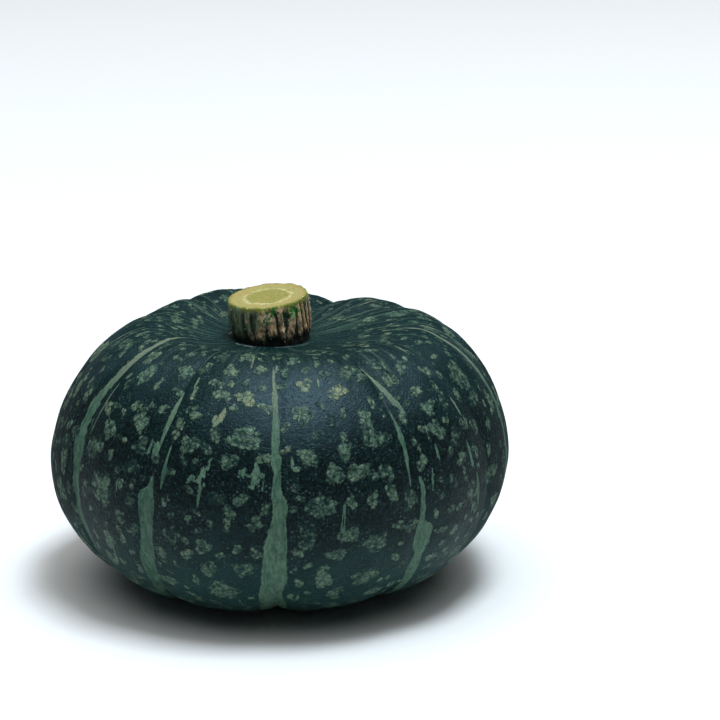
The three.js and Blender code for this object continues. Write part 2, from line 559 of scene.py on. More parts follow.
@dataclass(frozen=True)
class RindRelief:
    """The rind's fine relief: lumps, furrow creases, puckers round the stem, its lip, the scar."""

    lumps: Ripple = Ripple(0.4, 26)
    small_lumps: Ripple = Ripple(0.2, 9, 5.3)
    lump_radii: tuple[float, float] = (8, 40)
    crease_depth: float = 0.5
    crease_start: float = 0.86
    crease_share: float = 0.75
    crease_wear: Ripple = Ripple(0.5, 18, 9.1)
    crease_span: Span = (20, 60, 184, 214)
    puckers: Ripple = Ripple(0.5, (7, 7, 70), 2.7)
    fine_puckers: Ripple = Ripple(0.22, (3, 3, 40), 7.9)
    pucker_span: Span = (150, 192, 214, 223)
    lip: Hump = Hump(0.6, 0.3, 0.7)
    lip_share: float = 0.8
    lip_wear: Ripple = Ripple(0.5, 12, 3.3)
    upper_half: float = 150.0
    scar_ring: Hump = Hump(0.9, 4.6, 1.2)
    scar_hollow: Hump = Hump(-0.7, 0, 2.6)
    scar_reach: float = 30.0
    blossom: Ripple = Ripple(0.3, (9, 9, 50), 4.4)
    blossom_span: Span = (4, 9, 16, 40)

    def lift(self, skin: Array, radius: Array, stem_gap: Array, nearness: Array) -> Array:
        """Adds up the relief.

        Args:
            skin: Where the vertices lie on the rind, the distance along it third.
            radius: Their distances from the axis.
            stem_gap: Their distances outward from the edge of the stem's seat.
            nearness: How near each is to a furrow, up to 1.

        Returns:
            The lift off the smooth body.
        """
        along = skin[:, 2]
        lumps = self.lumps.over(skin) + self.small_lumps.over(skin)
        lumps *= smooth_step(radius, *self.lump_radii)
        crease = -self.crease_depth * smooth_step(nearness, self.crease_start, 1)
        crease *= self.crease_share + self.crease_wear.over(skin)
        crease *= within(along, *self.crease_span)
        pucker = self.puckers.over(skin) + self.fine_puckers.over(skin)
        pucker *= within(along, *self.pucker_span)
        lip = self.lip.at(stem_gap) * (self.lip_share + self.lip_wear.over(skin))
        lip *= along > self.upper_half
        scar = self.scar_ring.at(radius) + self.scar_hollow.at(radius)
        scar *= along < self.scar_reach
        blossom = self.blossom.over(skin) * within(along, *self.blossom_span)
        return lumps + crease + pucker + lip + scar + blossom


# ---- the rind's markings


@dataclass(frozen=True)
class Stroke:
    """A pale mark that runs along the rind, with its azimuth, along and half width at points."""

    tone: float
    route: tuple[tuple[float, float, float], ...]
    raggedness: float = 0.0

    def traced(self) -> tuple[Array, Array, Array]:
        """The route in steps of about a millimetre, with its corners rounded off.

        Returns:
            Azimuths, distances along and half widths, from the lowest point up.
        """
        middles, steps, widths = np.array(sorted(self.route, key=lambda point: point[1])).T
        count = max(9, int(steps[-1] - steps[0]) + 1)
        fine = np.linspace(steps[0], steps[-1], count)
        rounded = []
        for values in (middles, widths):
            laid = np.interp(fine, steps, values)
            laid[1:-1] = np.convolve(laid, np.array([0.25, 0.5, 0.25]), "valid")
            rounded.append(laid)
        return rounded[0], fine, rounded[1]


@dataclass(frozen=True)
class Patch:
    """A rosette of pale cells, with its half sizes across and along, its tone and its warmth."""

    azimuth: float
    along: float
    across: float
    length: float
    tone: float
    warmth: float = 0.0


NAMED_STROKES: dict[str, Stroke] = {
    "left stripe": Stroke(0.4, (
        (-66, 204, 0.3), (-60, 184, 0.9), (-60, 168, 1.5), (-61, 157, 1.7), (-62, 150, 2.8),
        (-62, 145, 2.1), (-61.5, 138, 2.6), (-61, 133, 4.3), (-60.5, 127, 2.8), (-60, 108, 2.8),
        (-59.5, 101, 4.0), (-60, 92, 3.2), (-61, 84, 3.3), (-63, 72, 2.2), (-66, 50, 0.5),
    ), 0.35),
    "left sliver": Stroke(0.5, ((-56, 162, 0.2), (-56.5, 152, 0.6), (-57.5, 139, 0.2))),
    "near left stripe, top": Stroke(0.8, (
        (-31, 165, 0.2), (-31.5, 156, 1.5), (-32, 151, 1.3), (-32.5, 145, 0.7), (-33, 139, 0.4),
    )),
    "near left stripe, side": Stroke(0.6, ((-35, 145, 0.3), (-35.5, 139, 0.5))),
    "near left stripe, middle": Stroke(0.5, (
        (-29, 144, 0.2), (-29.5, 139, 0.6), (-29.7, 133, 1.0), (-30, 127, 0.3),
    )),
    "near left stripe, foot": Stroke(0.4, (
        (-33, 131, 0.6), (-33, 127, 1.4), (-34, 125.5, 3.6), (-34, 116, 3.5), (-34.5, 107, 2.6),
        (-35, 101, 3.3), (-37.5, 83, 2.4), (-40, 70, 1.4), (-43, 50, 0.5),
    )),
    "front stripe": Stroke(0.6, (
        (-4.2, 182, 0.1), (-3.6, 174, 0.5), (-2.7, 165, 1.0), (-2.3, 156, 1.4), (-2, 143, 1.5),
        (-1.7, 141, 1.9), (-1.6, 137, 1.5), (-1.4, 129, 1.6), (-0.6, 126.5, 3.0), (-0.8, 118, 3.0),
        (-1.3, 110, 4.2), (-1.5, 91, 4.9), (-2.5, 82, 4.4), (-2, 70, 4.9), (-2, 48, 4.0),
        (-2, 14, 0.6),
    )),
    "near right stripe, top": Stroke(0.7, (
        (27, 180, 0.2), (31, 166, 0.9), (33, 159, 1.4), (34.5, 155, 0.5),
    )),
    "near right stripe, middle": Stroke(0.6, (
        (29.5, 162, 0.2), (31, 153, 0.5), (31.8, 145, 1.0), (32, 139, 0.9), (32, 133, 0.5),
        (32.3, 127, 0.3),
    )),
    "near right stripe, foot": Stroke(0.62, (
        (35, 130, 0.4), (35.5, 127, 0.9), (36, 112, 1.0), (37, 110.5, 3.6), (37, 102, 3.5),
        (37.5, 97, 1.6), (38, 88, 2.3), (42, 64, 1.0), (43, 50, 0.3),
    )),
    "right stripe": Stroke(0.5, (
        (84, 195, 0.4), (77, 178, 1.0), (78, 158, 1.8), (76, 128, 1.2), (76, 96, 2.6),
        (75, 40, 0.5),
    )),
    "yellow flake": Stroke(1.0, (
        (-16.4, 159.5, 0.3), (-17, 157.5, 1.1), (-17.6, 155.5, 2.2), (-18, 153.8, 1.4),
        (-18.8, 152.2, 0.3),
    ), 0.8),
    "winged flake": Stroke(0.7, (
        (-17.5, 141, 0.4), (-19, 136, 1.3), (-20, 133, 2.0), (-19.5, 130, 0.8), (-20, 123, 0.5),
    ), 0.8),
    "wing": Stroke(0.6, (
        (-22, 134, 0.3), (-22.3, 132.9, 1.7), (-22.8, 131.8, 1.5), (-23.3, 130.8, 0.3),
    ), 0.7),
    "flake by the front stripe": Stroke(0.6, (
        (-6.3, 141, 0.4), (-6.5, 138, 1.2), (-6.7, 135, 2.2), (-7, 132, 2.0), (-7, 130.4, 0.4),
    ), 0.8),
    "its wing": Stroke(0.5, (
        (-9, 138, 0.3), (-9.3, 136.8, 1.8), (-9.8, 135.6, 1.8), (-10.5, 134.5, 0.3),
    ), 0.7),
    "its tail": Stroke(0.5, ((-4.6, 136, 0.8), (-4.8, 130, 0.5)), 0.5),
    "right streak": Stroke(0.7, ((14.5, 124, 0.5), (14.3, 114, 0.8))),
    "far right streak, top": Stroke(0.7, ((52.5, 138, 0.3), (53.5, 128, 0.8))),
    "far right streak, foot": Stroke(0.6, ((55, 125, 0.3), (56, 118, 1.1), (57, 111, 0.3))),
}

NAMED_PATCHES: tuple[Patch, ...] = (
    Patch(-10, 149, 7.5, 4.8, 0.6), Patch(24, 147, 6, 4, 0.6), Patch(5, 158, 4.5, 5, 0.6),
    Patch(-13, 140, 4, 3, 0.6), Patch(-15, 85, 7, 6, 0.7), Patch(23, 108, 6, 5, 0.5),
    Patch(22, 91, 6, 5, 0.7), Patch(-47, 168, 4, 5, 0.8), Patch(16, 167, 3.5, 3.5, 0.9, 0.9),
    Patch(6, 171, 3.5, 3, 0.8, 0.7), Patch(-11, 164, 3.5, 3, 0.7, 0.6), Patch(-50, 144, 4, 4, 0.7),
    Patch(-40, 149, 3.5, 4.5, 0.8), Patch(-24, 145, 4, 4, 0.6), Patch(22, 155, 3, 4, 0.7),
    Patch(26, 134, 3, 4, 0.5), Patch(43, 155, 4, 3, 0.9), Patch(43, 146, 3.5, 4, 0.6),
    Patch(12, 135, 4, 4, 0.5), Patch(-27, 110, 4, 4, 0.3), Patch(3, 186, 3, 3, 0.6),
    Patch(36, 134, 2.5, 3.5, 0.9), Patch(-18, 98, 3.5, 4, 0.6), Patch(-9, 98, 4, 4, 0.6),
)


@dataclass
class Markings:
    """All the pale marks on the rind: the front's chief ones by name, the rest by a seeded rule."""

    growth: Growth
    profile: RindProfile
    seed: int = 41
    rows: int = 400
    front: float = 84.0
    tries: int = 14000
    flecks: int = 70
    least_radius: float = 12.0
    far_widths: Table = (
        (8, 0.4), (30, 1.8), (60, 3.6), (95, 3.6), (125, 2.6), (150, 1.7), (175, 1.1), (200, 0.4),
    )
    patch_sizes: Table = ((26, 0.75), (60, 1), (165, 1), (208, 0.6))
    # Rosette tones by distance along: brighter low down, partly as painted bounce light from the
    # floor.
    patch_tones_with_painted_bounce: Table = (
        (50, 1.25), (80, 1.5), (100, 1.2), (118, 0.85), (132, 0.6), (146, 0.84), (165, 0.82),
        (190, 0.65),
    )
    warm_share: float = 0.16
    petal_turn: float = 2.4
    petal_area: float = 3.2
    petal_reach: float = 0.68
    least_petal: float = 1.1
    elbow_room: float = 0.75

    def __post_init__(self) -> None:
        """Lays out every stroke and patch."""
        self.random = np.random.default_rng(self.seed)
        self.run, self.run_radius, *_ = self.profile.spaced(self.rows)
        self.strokes = [*NAMED_STROKES.values(), *self._far_stripes(), *self._flecks()]
        self.patches = [part for patch in self._spread() for part in self._petals(patch)]

    def per_degree(self, along: Array | float) -> Array:
        """How many millimetres a degree of azimuth spans at each distance along the rind."""
        radius = np.interp(along, self.run, self.run_radius)
        return np.radians(1) * np.maximum(radius, self.least_radius)

    def _far_stripes(self) -> list[Stroke]:
        """Lays a broken, uneven stripe in each furrow that the named ones leave free.

        Returns:
            Two strokes for each of those furrows.
        """
        draw, made = self.random, []
        for furrow in self.growth.furrows:
            if abs(turn_between(furrow.azimuth, 0)) < self.front:
                continue
            gap = draw.uniform(112, 150)
            pieces = [(8, gap + draw.uniform(-2, 6)), (gap - draw.uniform(0, 8), 186)]
            for low, high in pieces:
                steps = np.linspace(low, high, max(4, int((high - low) / 8)))
                sway = np.cumsum(draw.normal(0, 0.35, len(steps)))
                widths = look_up(steps, self.far_widths) * draw.uniform(0.55, 1.3, len(steps))
                widths[-1] = 0.3
                middles = self.growth.swung(furrow, steps) + draw.uniform(-1.5, 1.5) + sway
                route = tuple(zip(middles, steps, widths))
                made.append(Stroke(draw.uniform(0.45, 0.75), route, 0.3))
        return made

    def _flecks(self) -> list[Stroke]:
        """Scatters short streaks and flakes, longer and thinner by the stem.

        Returns:
            A stroke for each.
        """
        draw, made = self.random, []
        for _ in range(self.flecks):
            azimuth, along = draw.uniform(-180, 180), draw.uniform(66, 194)
            near_stem = float(smooth_step(along, 150, 190))
            length = draw.uniform(3, 9) * (1 + 0.2 * near_stem)
            half = draw.uniform(0.3, 0.8) * (1 - 0.1 * near_stem)
            slant = draw.normal(0, 0.25)
            steps = np.linspace(1, -1, 5)
            widths = half * np.array([0.4, *draw.uniform(0.5, 1.2, 3), 0.4])
            route = tuple(zip(azimuth + slant * steps, along + steps * length / 2, widths))
            made.append(Stroke(draw.uniform(0.5, 1), route, 0.65))
        return made

    def _spread(self) -> list[Patch]:
        """Scatters patches wherever there's room between the stripes and the named patches.

        Returns:
            The named patches and the scattered ones.
        """
        draw, count = self.random, self.tries
        azimuth, along = draw.uniform(-180, 180, count), draw.uniform(26, 208, count)
        size = draw.gamma(5.0, 0.66, count).clip(1.1, 6.5) * look_up(along, self.patch_sizes)
        shape = draw.uniform(0.75, 1.2, count)
        # Brighter low on the rind, partly as painted bounce light from the floor.
        tone = draw.uniform(0.3, 1.05, count) * look_up(along, self.patch_tones_with_painted_bounce)
        chance, warmth = draw.random(count), draw.uniform(0, 0.8, count)
        warmth *= np.where(chance < self.warm_share, 1, 0.4) * smooth_step(along, 120, 165)
        spare = draw.uniform(0.2, 2.2, count)
        room = -self.measure_strokes(azimuth, along)[:, 2]
        made = list(NAMED_PATCHES)
        there = np.zeros((count + len(made), 3))
        there[: len(made)] = [(patch.azimuth, patch.along, patch.across) for patch in made]
        for place in np.flatnonzero(room > size * self.elbow_room):
            taken = there[: len(made)]
            across = turn_between(azimuth[place], taken[:, 0]) * self.per_degree(along[place])
            gap = np.hypot(across, along[place] - taken[:, 1]) - taken[:, 2] - size[place]
            if gap.min() > spare[place]:
                there[len(made)] = azimuth[place], along[place], size[place]
                sizes = size[place] * shape[place], size[place] / shape[place]
                made.append(Patch(azimuth[place], along[place], *sizes, tone[place], warmth[place]))
        return made

    def _petals(self, patch: Patch) -> list[Patch]:
        """Breaks a patch into uneven, overlapping rounds, so that its outline is lobed.

        Args:
            patch: The whole patch.

        Returns:
            Its rounds, spiralling out from the middle.
        """
        count = int(np.clip(patch.across * patch.length / self.petal_area, 2, 9))
        turn = self.random.uniform(0, 2 * np.pi) + np.arange(count) * self.petal_turn
        reach = np.sqrt((np.arange(count) + 0.6) / count) * self.petal_reach
        scale = self.random.uniform(0.36, 0.6, count) * np.sqrt(4 / (count + 1.5)) * 1.35
        tones = patch.tone + self.random.normal(0, 0.09, count)
        degrees = patch.across / self.per_degree(patch.along)
        middles = zip(patch.azimuth + degrees * reach * np.sin(turn),
                      patch.along + patch.length * reach * np.cos(turn))
        sizes = np.maximum(self.least_petal, np.outer(scale, (patch.across, patch.length)))
        return [Patch(*middle, *size, tone, patch.warmth)
                for middle, size, tone in zip(middles, sizes, tones)]

    def measure_strokes(self, azimuth: Array, along: Array) -> Array:
        """Each point's place across its nearest stroke.

        Args:
            azimuth, along: Where the points lie.

        Returns:
            Rows of the offset from the stroke's middle, its half width there, how far the point
            is inside it, its tone and its raggedness.
        """
        far = 9.0
        best = np.tile([far, -far, -far, 0.5, 0.0], (len(azimuth), 1))
        scale = self.per_degree(along)
        for stroke in self.strokes:
            middles, steps, widths = stroke.traced()
            beyond = np.maximum(steps[0] - along, along - steps[-1]).clip(0)
            offset = turn_between(azimuth, np.interp(along, steps, middles)) * scale
            half = np.interp(along, steps, widths) - beyond
            inside = half - np.abs(offset)
            nearer = inside > best[:, 2]
            best[nearer, :3] = np.stack([offset, half, inside], axis=1)[nearer]
            best[nearer, 3:] = stroke.tone, stroke.raggedness
        return best

    def measure_patches(self, azimuth: Array, along: Array) -> Array:
        """How each point is covered by the patches.

        Args:
            azimuth, along: Where the points lie.

        Returns:
            Rows of cover, from 1 at a patch's middle through 0 at its edge, tone and warmth.
        """
        best = np.tile([-1.0, 0.5, 0.0], (len(azimuth), 1))
        scale = self.per_degree(along)
        for patch in self.patches:
            near = np.flatnonzero(np.abs(along - patch.along) < patch.length * 2)
            across = turn_between(azimuth[near], patch.azimuth) * scale[near] / patch.across
            cover = 1 - np.hypot(across, (along[near] - patch.along) / patch.length)
            nearer = cover > best[near, 0]
            chosen = near[nearer]
            best[chosen, 0] = cover[nearer]
            best[chosen, 1:] = patch.tone, patch.warmth
        return best


# ---- finishes


@dataclass(frozen=True)
class RindFinish:
    """Waxy dark green rind, with grey-green stripes, rosettes of pale cells and fine speckle, and
    painted light: a sheen on the upper front, a highlight on the stem's lip and bounce light low
    down.
    """

    length: float = 240.0
    # Place and squash of the sheen painted on the upper front, in the rind's skin space.
    sheen_place: tuple[float, float, float] = (5.0, -84.8, 277.0)
    sheen_squash: float = 1.7
    worms: float = 56.0
    specular: float = 0.2
    specular_tint: Colour = (0.66, 0.92, 1.0)
    dark: Colour = paint(11, 20, 22)
    # Lightened as painted bounce light from the floor.
    low: Colour = paint(46, 78, 76)
    grain: Colour = paint(25, 49, 48)
    # Partly painted light from above.
    teal: Colour = paint(20, 43, 44)
    # Bluish bloom colour, also used for the painted sheen on the upper front.
    bloom_and_painted_sheen: Colour = paint(84, 104, 116)
    stripe_low: Colour = paint(57, 86, 73)
    stripe_high: Colour = paint(98, 124, 106)
    stripe_warm: Colour = paint(118, 126, 107)
    # Painted highlight: the pale line along the lip at the stem's foot.
    lip: Colour = paint(176, 186, 186)
    patch_dim: Colour = paint(26, 50, 48)
    patch_bright: Colour = paint(96, 120, 101)
    patch_pale: Colour = paint(130, 149, 128)
    patch_warm: Colour = paint(138, 142, 110)
    speck: Colour = paint(64, 86, 82)

    def material(self) -> bpy.types.Material:
        """Builds the finish from the rind's skin, stroke, stroke_kind and patch attributes.

        Returns:
            The material.
        """
        b = Board("rind")
        skin, body = b.attribute("skin"), b.millimetres()
        patch, kind = b.attribute("patch"), b.attribute("stroke_kind")
        side, _, along = skin.split()
        cover, tone, whole = self._patches(skin, patch)
        stripes, stripe_tone = self._stripes(skin, b.attribute("stroke"), kind)

        colour = self._specks(body, skin).blend(self._ground(skin, along), self.speck)
        colour = self._streaks(skin, along, side).blend(colour, self.stripe_high)
        colour = cover.blend(colour, self._patch_colour(body, tone, patch))
        colour = stripes.blend(colour, self._stripe_colour(skin, along, stripe_tone, kind))
        # Painted highlight: a pale, broken thin line round the lip at the stem's foot, strongest on
        # the left.
        lip = along.band(222.3, 222.9) * along.band(223.8, 223.2)
        lip = lip * skin.noise(34, 4, 0.3).band(0.44, 0.62, 0, 0.42)
        colour = (lip * side.band(20, -20, 0.3, 1)).blend(colour, self.lip)

        polish = skin.noise(4, 3).band(0.3, 0.7, 0.43, 0.52)
        pale = stripes.most(cover * 0.5)
        rough = polish + pale * 0.08 + abs(side).band(62, 82, 0, 0.3)
        return b.finish({
            "Base Color": colour,
            "Roughness": rough * along.band(214, 222, 1, 0.7),
            "Normal": self._leather(body, cover, whole, stripes),
            "Specular IOR Level": self.specular,
            "Specular Tint": self.specular_tint,
        })

    def _ground(self, skin: Value, along: Value) -> Value:
        """Colours the ground under the marks: dark green, greyer at the shoulders (partly painted
        light from above) and at the base (painted bounce light from the floor), with a patchy bloom
        and a painted sheen on the upper front.

        Args:
            skin: Where each point lies on the rind.
            along: Its distance along it.

        Returns:
            The colour.
        """
        share = (along + skin.noise(16, 3).swing(25)) / self.length
        # Lighter at the base as painted bounce light from the floor, and lighter teal at the top,
        # partly painted light from above; darkest about the middle.
        base = share.ramp((0.0, self.low), (0.28, self.low), (0.48, self.dark), (0.58, self.dark),
                          (0.73, self.teal), (1.0, self.teal))
        waxy = skin.noise(24).band(0.42, 0.62) * along.band(146, 160)
        waxy = waxy * along.band(186, 172) * 0.14
        # Painted sheen: a soft bluish highlight on the upper front, laid over a faint patchy waxy
        # bloom round the shoulders.
        front = skin.stretch(1, 1, self.sheen_squash).away_from(self.sheen_place)
        base = waxy.most(front.band(42, 6, 0, 0.44)).blend(base, self.bloom_and_painted_sheen)
        return skin.noise(0.9, 3, 0.7).band(0.44, 0.62, 0, 0.62).blend(base, self.grain)

    def _specks(self, body: Value, skin: Value) -> Value:
        """Strews fine pale flecks, thicker in some places than others.

        Args:
            body: Where each point lies on the fruit, in millimetres.
            skin: Where it lies on the rind.

        Returns:
            Their cover.
        """
        distance, draw = body.cells(1.3)
        near, near_draw = body.warp(2, 1).cells(0.8)
        dots = distance.band(0.46, 0.18) * draw.band(0.4, 0.95)
        fine = near.band(0.5, 0.2) * near_draw.band(0.5, 0.95, 0, 0.8)
        return dots.most(fine) * skin.noise(8).band(0.34, 0.64, 0.2, 1)

    def _streaks(self, skin: Value, along: Value, side: Value) -> Value:
        """Draws pale hair lines into the stem's dimple, broader where they close in on it.

        Args:
            skin: Where each point lies on the rind.
            along, side: Its distance along it, and to the right of the middle.

        Returns:
            Their cover.
        """
        outer = skin.noise(2.6, 3, 0.06).band(0.55, 0.68) * along.band(162, 198, 0, 0.42)
        inner = skin.noise(8, 3, 0.05).band(0.52, 0.66) * along.band(188, 212, 0, 0.24)
        return outer.most(inner) * abs(side).band(8, 50, 0.4, 1)

    def _patches(self, skin: Value, patch: Value) -> tuple[Value, Value, Value]:
        """The rosettes, lobed at the edge, seamed and pitted within.

        Args:
            skin: Where each point lies on the rind.
            patch: Their recorded cover and tone.

        Returns:
            Their cover, their tone, and how far they stand proud, up to 1.
        """
        inside, tone, _ = patch.split()
        bent = skin.warp(2.4, 1.5)
        middle, draw = bent.cells(2.5)
        edge = bent.inside_cell(2.5, CellPart.EDGE)
        bead, bead_draw = skin.warp(2.4, 1.8).cells(1.5)
        ragged = skin.noise(1.2).swing(0.5)
        body = inside * 1.15 + skin.noise(3.6).swing(0.45) + ragged + 0.44
        whole = (body - middle * 0.9).band(-0.22, 0.26)
        seam_reach = skin.noise(2.2).band(0.4, 0.6, 0, 0.1)
        seams = (edge - seam_reach).band(-0.04, 0.1, 0.34, 1)
        pits = bead.band(0.2, 0.42).most(bead_draw.band(0.6, 0.5))
        cover = whole * seams * pits.band(0, 1, 0.6, 0.95)
        tone = tone + skin.noise(1.7, 3).swing(1.5) + skin.noise(4).swing(0.6) + draw.swing(0.22)
        tone = tone + bead_draw.swing(0.16) + bead.band(0.2, 0.75, 0.08, -0.12)
        tone = tone + middle.band(0.05, 0.5, -0.4, 0.1) * draw.band(0.4, 0.6)
        proud = whole * middle.band(0.1, 0.8, 1, 0.3) * bead.band(0.1, 0.8, 1, 0.55)
        return cover, tone, proud

    def _patch_colour(self, body: Value, tone: Value, patch: Value) -> Value:
        """Colours the rosettes, which glint where their tone is bright.

        Args:
            body: Where each point lies on the fruit, in millimetres.
            tone: The rosettes' tone.
            patch: Their recorded cover, tone and warmth.

        Returns:
            The colour.
        """
        colour = tone.blend(self.patch_dim, self.patch_bright)
        colour = (patch.split()[2] * tone).blend(colour, self.patch_warm)
        glints = body.noise(0.75).band(0.5, 0.66) * tone.band(0.2, 1.5)
        return glints.blend(colour, self.patch_pale)

    def _stripes(self, skin: Value, stroke: Value, kind: Value) -> tuple[Value, Value]:
        """The strokes, with stepped edges, slits and a lengthwise grain.

        Args:
            skin: Where each point lies on the rind.
            stroke: The recorded offset, half width and depth inside the nearest stroke.
            kind: Its recorded tone and raggedness.

        Returns:
            Their cover and their tone.
        """
        offset, half, inside = stroke.split()
        tone, raggedness, _ = kind.split()
        depth = (half - abs(offset)).least(inside + 0.45)
        steps = skin.noise(1.3, 3, 0.6).swing(0.9)
        waves = skin.noise(3, 2, 0.35).swing(1.1) + steps
        bites = (skin.noise(1.5, 3, 0.6).swing(4.2) - 0.35) * raggedness
        waves = waves * half.band(0.3, 2.2, 0.35, 1) + bites * half.band(0.3, 1.4, 0.3, 1)
        whole = skin.noise(1.3, 2, 0.07).band(0.28, 0.33).most(depth.band(0.9, 1.3))
        worn = skin.noise(0.8, 2, 0.6).band(0.34, 0.46, 0.72, 1)
        cover = (depth + waves).band(-0.2, 0.2) * whole * worn
        grain, clouds = skin.noise(0.9, 3, 0.35).swing(1), skin.noise(3.4, 2, 0.4).swing(0.8)
        return cover, tone + grain + clouds

    def _stripe_colour(self, skin: Value, along: Value, tone: Value, kind: Value) -> Value:
        """Colours the strokes, warmer high on the rind and in its ragged flakes.

        Args:
            skin: Where each point lies on the rind.
            along: Its distance along it.
            tone: The strokes' tone.
            kind: Their recorded tone and raggedness.

        Returns:
            The colour.
        """
        colour = tone.blend(self.stripe_low, self.stripe_high)
        colour = along.band(146, 176, 0, 0.8).blend(colour, self.stripe_warm)
        flaky = kind.split()[1].band(0.5, 0.8) * along.band(142, 156, 0, 0.7)
        return (flaky * skin.noise(1.6).band(0.36, 0.56)).blend(colour, self.patch_warm)

    def _leather(self, body: Value, cover: Value, whole: Value, stripes: Value) -> Value:
        """The rind's fine relief.

        Args:
            body: Where each point lies on the fruit, in millimetres.
            cover: The rosettes' cover.
            whole: How far the rosettes stand proud, up to 1.
            stripes: The strokes' cover.

        Returns:
            The bumped normal: a leathery grain, raised rosettes and slightly sunk stripes.
        """
        pores = body.warp(1.4, 0.8).inside_cell(0.85, CellPart.MIDDLE)
        worm = (body.noise(6) * self.worms).sine()
        grain = body.noise(0.6) * 0.14 + pores * -0.1 + worm * 0.04 + body.noise(3.6) * 0.3
        grain = grain * stripes.band(0, 1, 1, 0.6)
        return (grain + (whole * 0.42 + cover * 0.06 + stripes * -0.06)).relief()


@dataclass(frozen=True)
class StemFinish:
    """Dry stem: tan cork on the ridges, green between them, dark painted shade in the grooves and
    at the foot, and a pale cut face.
    """

    growth_rings: float = 34.0
    specular: float = 0.3
    cork: Colour = paint(218, 178, 134)
    cork_pale: Colour = paint(238, 212, 178)
    cork_grey: Colour = paint(120, 120, 102)
    green: Colour = paint(146, 164, 136)
    green_bright: Colour = paint(62, 138, 62)
    # Near black: dark blotches on the green, and painted shade in the grooves and at the foot.
    dark: Colour = paint(18, 24, 26)
    ring: Colour = paint(167, 158, 102)
    pale: Colour = paint(202, 194, 144)
    tan: Colour = paint(166, 140, 86)
    core: Colour = paint(143, 140, 73)
    line: Colour = paint(138, 140, 64)
    # Near white, for small specks on the side.
    drop: Colour = paint(235, 235, 225)
    edge: Colour = paint(136, 142, 68)

    def material(self) -> bpy.types.Material:
        """Builds the finish from the stem's bark and face attributes.

        Returns:
            The material.
        """
        b = Board("stem_cork")
        place = b.millimetres()
        ring, on_face, _ = b.attribute("face").split()
        side = self._side(place, b.attribute("bark"))
        height = place.noise(0.5, 3, 0.25) * 0.3 + place.noise(0.35) * 0.16
        return b.finish({
            "Base Color": on_face.blend(side, self._face(place, ring)),
            "Roughness": place.noise(1).band(0.3, 0.7, 0.62, 0.85),
            "Normal": height.relief(),
            "Specular IOR Level": self.specular,
        })

    def _side(self, place: Value, bark: Value) -> Value:
        """The ridged side's colour.

        Args:
            place: Where each point lies, in millimetres.
            bark: The recorded nearness to a ridge's crest, share of the height and corkiness, which
                is partly painted light from the corky side.

        Returns:
            Green with tan cork on the ridges, and dark painted shade in the grooves and at the
            foot.
        """
        crest, share, cork = bark.split()
        x = place.split()[0]
        blotch, fleck = place.noise(1.3, 3, 0.25), place.noise(0.55, 3, 0.45)
        wet = share.band(0.42, 0.7) * place.noise(2.9).band(0.45, 0.53)
        wet = wet * x.band(-12, -3, 0.15, 1) * x.band(8, 11, 1, 0.2)
        green = wet.blend(self.green, self.green_bright)
        green = blotch.band(0.44, 0.6, 0, 0.6).blend(green, self.dark)
        tan = fleck.band(0.42, 0.66).blend(self.cork, self.cork_pale)
        tan = place.noise(1.8).band(0.34, 0.54, 0.1, 0.9).blend(self.cork_grey, tan)
        corky = crest + cork * 1.8 + blotch + fleck.swing(1) - 0.1
        corky = corky + place.noise(4).swing(0.9) + wet * -0.8
        colour = corky.band(1.8, 2.1).blend(green, tan)
        # Painted shade: the grooves between the ridges darkened towards near black, less where the
        # stem is less corky and near the top.
        groove_shade = (crest + fleck * 0.6).band(0.86, 0.5, 0, 0.86)
        groove_shade = groove_shade * share.band(0.98, 0.78, 0.1, 1) * cork.band(0.3, 0.6, 0.45, 1)
        colour = groove_shade.blend(colour, self.dark)
        # Painted shade: the foot darkened where it sits in the fruit's dimple.
        foot = (share + blotch * 0.3).band(0.46, 0.22, 0, 0.94)
        colour = foot.blend(colour, self.dark)
        rim = (share + blotch.swing(0.3) + fleck.swing(0.1)).band(0.88, 1)
        # Small near-white specks scattered over the side.
        spot, spot_draw = place.cells(2.5)
        white_specks = spot.band(0.16, 0.1) * spot_draw.band(0.45, 0.5)
        return white_specks.blend(rim.blend(colour, self.edge), self.drop)

    def _face(self, place: Value, ring: Value) -> Value:
        """Colours the cut face: a greener core, a pale ring and a thin green edge.

        Args:
            place: Where each point lies, in millimetres.
            ring: Its share of the way from the middle out.

        Returns:
            The colour.
        """
        outward = ring + place.noise(3, 3).swing(0.14)
        base = outward.ramp((0, self.core), (0.5, self.core), (0.58, self.pale), (0.66, self.ring),
                            (0.84, self.ring), (0.94, self.tan), (0.99, self.edge))
        drawn_out = {"X": outward * self.growth_rings, "Y": place.noise(4)}
        rings = place.board.node("CombineXYZ", drawn_out)["Vector"]
        lines = rings.noise(1).band(0.48, 0.66, 0, 0.6)
        blots = place.noise(2.2, 3).band(0.5, 0.66, 0, 0.75)
        fibres = place.noise(0.45).band(0.45, 0.68, 0, 0.35)
        return fibres.blend(blots.blend(lines.blend(base, self.line), self.tan), self.pale)


@dataclass(frozen=True)
class FloorFinish:
    """Plain matt white."""

    colour: Colour = (0.82, 0.82, 0.82)
    roughness: float = 0.9
    specular: float = 0.1

    def material(self) -> bpy.types.Material:
        """Builds the finish."""
        inputs = {"Base Color": self.colour, "Roughness": self.roughness}
        return Board("floor").finish({**inputs, "Specular IOR Level": self.specular})


# ---- the pieces


